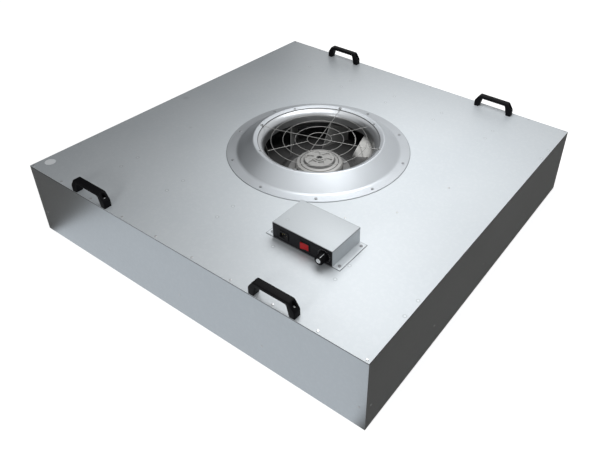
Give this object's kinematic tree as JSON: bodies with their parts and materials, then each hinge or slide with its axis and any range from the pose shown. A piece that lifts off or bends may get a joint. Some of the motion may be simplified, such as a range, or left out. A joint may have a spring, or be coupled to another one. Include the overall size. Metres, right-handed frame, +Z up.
{
  "type": "fan filter unit",
  "caption": "Square galvanised ceiling fan filter unit with a round spun inlet, wire guard, lifting handles and a control box with a red rocker and a speed knob.",
  "frame": {"origin": "centre of the casing's bottom rim, where it stands on a ceiling grid", "axes": "+Z up, from the filter to the inlet; +X along the edge with the control box; the box's controls face -Y"},
  "size_m": [1.1762, 1.1762, 0.278],
  "materials": {
    "casing_steel": "satin galvanised sheet",
    "inlet_paint": "satin pale grey paint",
    "plain_steel": "plain galvanised sheet",
    "fastener_steel": "bright zinc",
    "guard_wire": "zinc-plated wire",
    "sticker_paper": "matt white paper",
    "fan_sheet": "satin sheet",
    "cast_aluminium": "as cast",
    "motor_steel": "plain",
    "copper_winding": "varnished copper wire",
    "black_panel": "satin black paint",
    "black_plastic": "satin black",
    "pin_brass": "plated",
    "red_plastic": "gloss red",
    "silver_cap": "satin silver",
    "control_metal": "plain",
    "board_green": "solder resist",
    "seal_rubber": "matt",
    "filter_paper": "matt white glass-fibre paper"
  },
  "bodies": {
    "casing": {"top_panel": "casing_steel", "front_panel": "casing_steel", "rear_panel": "casing_steel", "left_panel": "casing_steel", "right_panel": "casing_steel", "box_cover": "casing_steel", "inlet_collar": "inlet_paint", "bell_mouth": "inlet_paint", "filter_rails": "plain_steel", "top_stiffeners": "plain_steel", "fan_deck": "plain_steel", "fan_hangers": "plain_steel", "filter_clips": "plain_steel", "panel_rivets": "fastener_steel", "side_rivets": "fastener_steel", "collar_rivets": "fastener_steel", "bell_rivets": "fastener_steel", "guard_screws": "fastener_steel", "handle_screws": "fastener_steel", "box_screws": "fastener_steel", "motor_bolts": "fastener_steel", "control_nut": "fastener_steel", "board_spacers": "fastener_steel", "inlet_guard": "guard_wire", "round_sticker": "sticker_paper", "stator_carrier": "cast_aluminium", "filter_frame": "cast_aluminium", "stator_core": "motor_steel", "upper_bearing": "motor_steel", "lower_bearing": "motor_steel", "stator_windings": "copper_winding", "control_panel": "black_panel", "power_inlet": "black_plastic", "rocker_frame": "black_plastic", "terminal_block": "black_plastic", "capacitor": "black_plastic", "handle_front_left": "black_plastic", "handle_front_right": "black_plastic", "handle_rear_left": "black_plastic", "handle_rear_right": "black_plastic", "inlet_pins": "pin_brass", "speed_control": "control_metal", "control_board": "board_green", "cable_grommet": "seal_rubber", "filter_gasket": "seal_rubber", "filter_media": "filter_paper"},
    "fan_rotor": {"impeller_shroud": "fan_sheet", "impeller_back_plate": "fan_sheet", "impeller_blades": "fan_sheet", "motor_rotor": "cast_aluminium", "rotor_ring": "motor_steel", "motor_shaft": "motor_steel", "rotor_screws": "fastener_steel"},
    "power_rocker": {"rocker": "red_plastic"},
    "speed_dial": {"speed_knob": "black_plastic", "knob_cap": "silver_cap", "control_shaft": "control_metal"}
  },
  "joints": [
    {"name": "fan_spin", "type": "hinge", "parent": "casing", "child": "fan_rotor", "pos_m": [0, 0, 0.15], "axis": [0, 0, 1], "continuous": true},
    {"name": "rocker_tilt", "type": "hinge", "parent": "casing", "child": "power_rocker", "pos_m": [0.27, -0.4038, 0.251], "axis": [0, 0, 1], "range_deg": [-16, 0]},
    {"name": "speed_turn", "type": "hinge", "parent": "casing", "child": "speed_dial", "pos_m": [0.329, -0.41, 0.251], "axis": [0, -1, 0], "range_deg": [-130, 170]}
  ]
}
